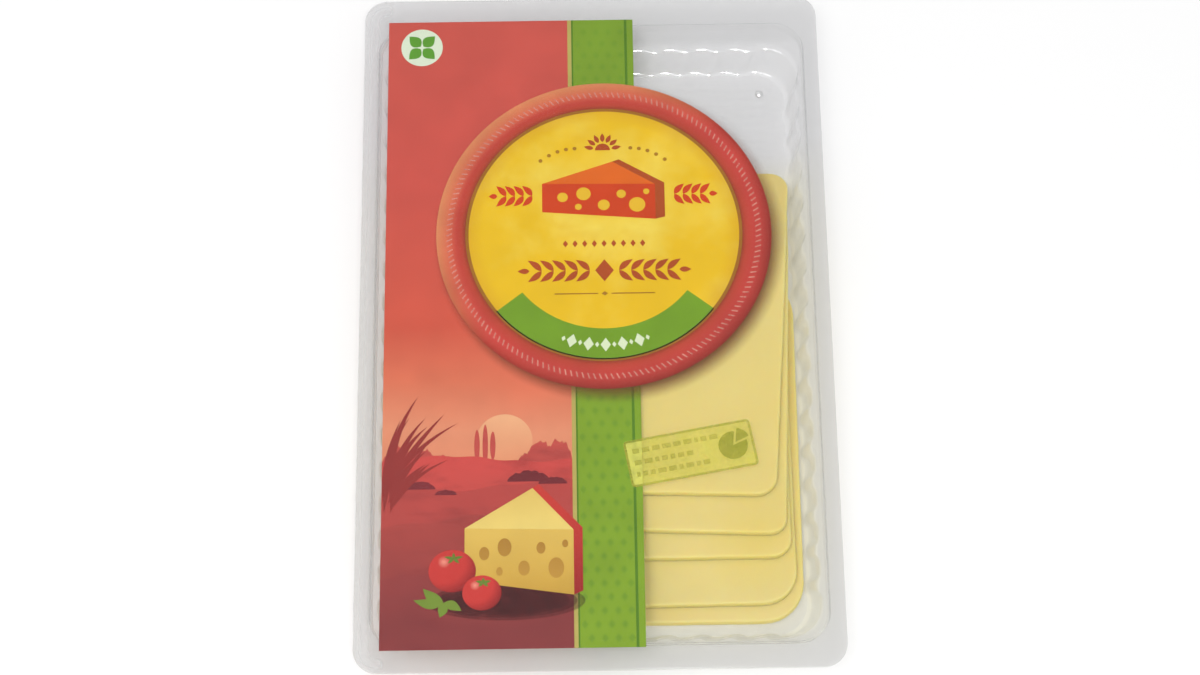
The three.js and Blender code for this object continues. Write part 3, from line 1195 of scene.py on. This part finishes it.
def stamp_dashes():
    """Three rows of dashes of uneven length, like printed dates."""
    chance = random.Random(5)
    dashes = []
    for row, reach in ((3.7, 8.0), (0.1, 1.0), (-3.5, 5.0)):
        x = -STAMP_OUTLINE.side + 2.2
        while x < reach:
            length = chance.uniform(1.0, 2.6)
            dashes.append(rectangle(x, x + length, row - 0.75, row + 0.75))
            x += length + 0.8
    return dashes


def sector(tip, radius, start, sweep, steps):
    """Part of a disc from its tip, between two angles."""
    angles = [start + sweep * i / steps for i in range(steps + 1)]
    rim = [tuple(tip + radius * direction(angle)) for angle in angles]
    return [tuple(tip)] + rim


def cut_round():
    """A round of cheese with a cut piece pulled out of it."""
    hub, radius = Vector((12.6, 0.0)), 4.3
    start, end = radians(15), radians(75)
    whole = sector(hub, radius, end, 2 * pi - end + start, 36)
    return [whole, sector(hub + Vector((0.9, 0.9)), radius, start, end - start, 10)]


def stamp_print():
    """The tilted outline over the slices: rows of dashes beside a cut round of cheese."""
    def placed(polygons):
        return turned(polygons, STAMP_TURN, STAMP)

    inside = grow(STAMP_OUTLINE, -STAMP_LINE)._replace(radius=STAMP_OUTLINE.radius - 0.6)
    outer = loop(STAMP_OUTLINE, 1, 1, 6)
    inner = loop(inside, 1, 1, 6)
    line = sheer_ink("stamp_line_ink", (192, 192, 66), 0.5)
    fill = sheer_ink("stamp_fill_ink", (238, 238, 96), 0.24)
    base = sheer_ink("stamp_base_ink", (232, 229, 122), 0.78)
    mark = sheer_ink("stamp_mark_ink", (196, 194, 66), 0.28)
    deep = sheer_ink("stamp_round_ink", (172, 178, 40), 0.36)
    printed("stamp_fill", placed([inner]), 2, fill)
    over_stripe = [left_of(polygon, PRINT_RIGHT) for polygon in placed([inner])]
    printed("stamp_base", over_stripe, 1.8, base)
    printed("stamp_line", placed(frame_strip(outer, inner)), 3, line)
    printed("stamp_dashes", placed(stamp_dashes()), 3, mark)
    printed("stamp_round", placed(cut_round()), 3, deep)


# Stage

def make_camera():
    across, ahead = sin(CAMERA_YAW), cos(CAMERA_YAW)
    low, high = sin(CAMERA_TILT), cos(CAMERA_TILT)
    back = Vector((-across * low, -ahead * low, high))
    level_up = Vector((across * high, ahead * high, low))
    level_right = level_up.cross(back)
    right = cos(CAMERA_ROLL) * level_right + sin(CAMERA_ROLL) * level_up
    up = cos(CAMERA_ROLL) * level_up - sin(CAMERA_ROLL) * level_right
    data = bpy.data.cameras.new("camera")
    data.lens = CAMERA_LENS
    data.sensor_width = CAMERA_SENSOR
    data.clip_start = 0.01
    camera = add_object("camera", data)
    place = Matrix((right, up, back)).transposed().to_4x4()
    place.translation = (CAMERA_TARGET + back * CAMERA_DISTANCE) * MM
    camera.matrix_world = place
    bpy.context.scene.camera = camera


def make_lamp(lamp):
    """A square lamp that faces the object."""
    data = bpy.data.lights.new(lamp.name, "AREA")
    data.shape = "SQUARE"
    data.size = lamp.size
    data.energy = lamp.power
    light = add_object(lamp.name, data)
    light.visible_diffuse = lamp.lights_surfaces
    light.location = lamp.place
    light.rotation_euler = (-Vector(lamp.place)).to_track_quat("-Z", "Y").to_euler()


def make_stage():
    """A plain pale floor under soft white light."""
    corners = [(x, y, 0) for x, y in rectangle(-FLOOR_REACH, FLOOR_REACH, -FLOOR_REACH, FLOOR_REACH)]
    floor = new_object("studio_floor", corners, [[0, 1, 2, 3]], floor_material(), smooth=False)
    world = bpy.data.worlds.new("studio")
    world.use_nodes = True
    sky = world.node_tree.nodes["Background"]
    sky.inputs["Color"].default_value = (1, 1, 1, 1)
    sky.inputs["Strength"].default_value = WORLD_LIGHT
    bpy.context.scene.world = world
    for lamp in LAMPS:
        make_lamp(lamp)
    bpy.context.scene.view_settings.view_transform = "Standard"
    bpy.context.scene.cycles.transparent_max_bounces = 48


make_camera()
make_stage()
make_tray(clear_plastic(TRAY_PLASTIC, sealed=True))
make_pip(clear_plastic(PIP_PLASTIC))
make_film(clear_plastic(FILM_PLASTIC))
cheese = cheese_material()
for order in range(len(SLICES)):
    make_slice(order, cheese)
panel_print()
stripe_print()
label_print()
wedge_print()
badge_print()
stamp_print()
